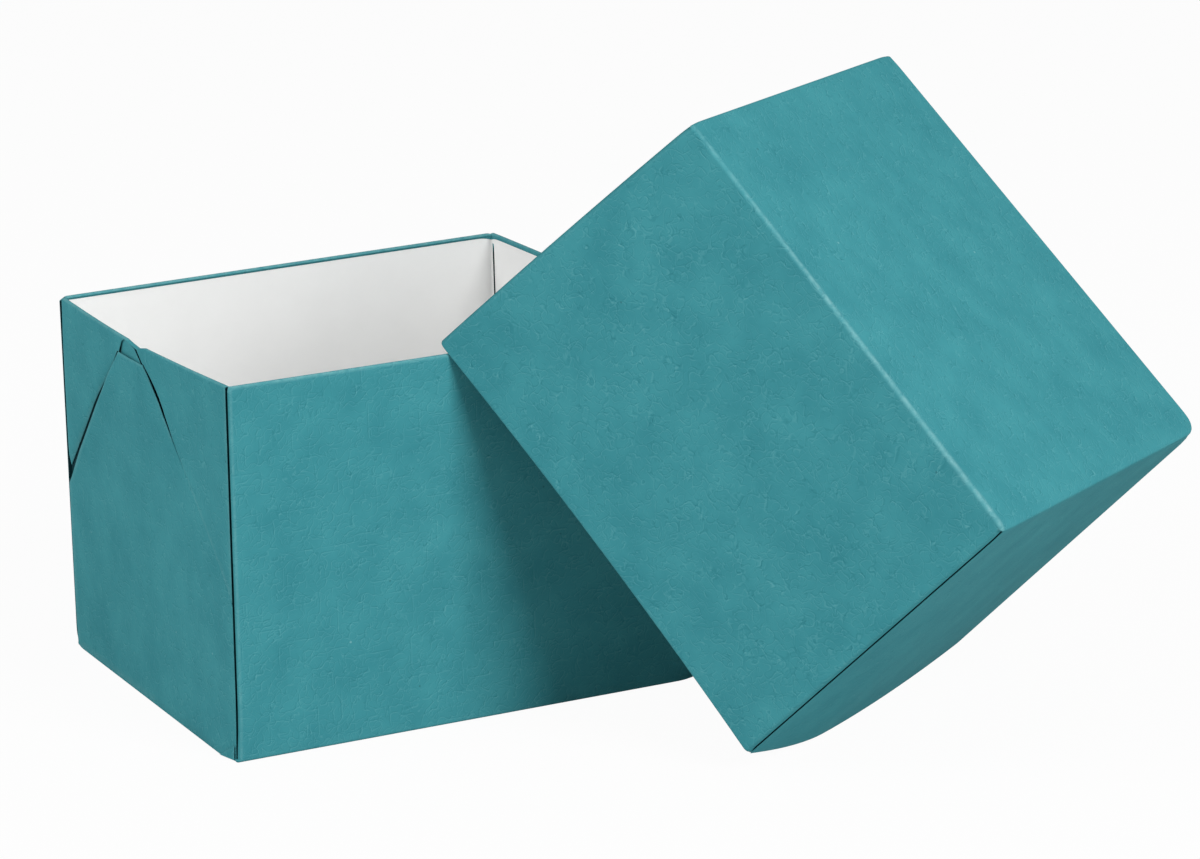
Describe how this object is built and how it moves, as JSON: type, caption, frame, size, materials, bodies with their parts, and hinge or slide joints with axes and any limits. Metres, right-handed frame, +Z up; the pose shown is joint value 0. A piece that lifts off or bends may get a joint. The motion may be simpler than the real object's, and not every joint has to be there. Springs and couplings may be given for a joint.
{
  "type": "cardboard gift box",
  "caption": "Open gift box folded from teal covered board, white inside, with its deep lid off and leaning against the front of the base.",
  "frame": {"origin": "middle of the base's underside", "axes": "+X along the base's long sides, towards the leaning lid; +Y from the front wall to the back wall; +Z up"},
  "size_m": [0.2851, 0.2802, 0.1917],
  "materials": {
    "teal_board": "matt teal paper with fine curled fibres outside, plain white paper inside"
  },
  "bodies": {
    "root": {"box_base": "teal_board", "box_lid": "teal_board"}
  },
  "joints": []
}
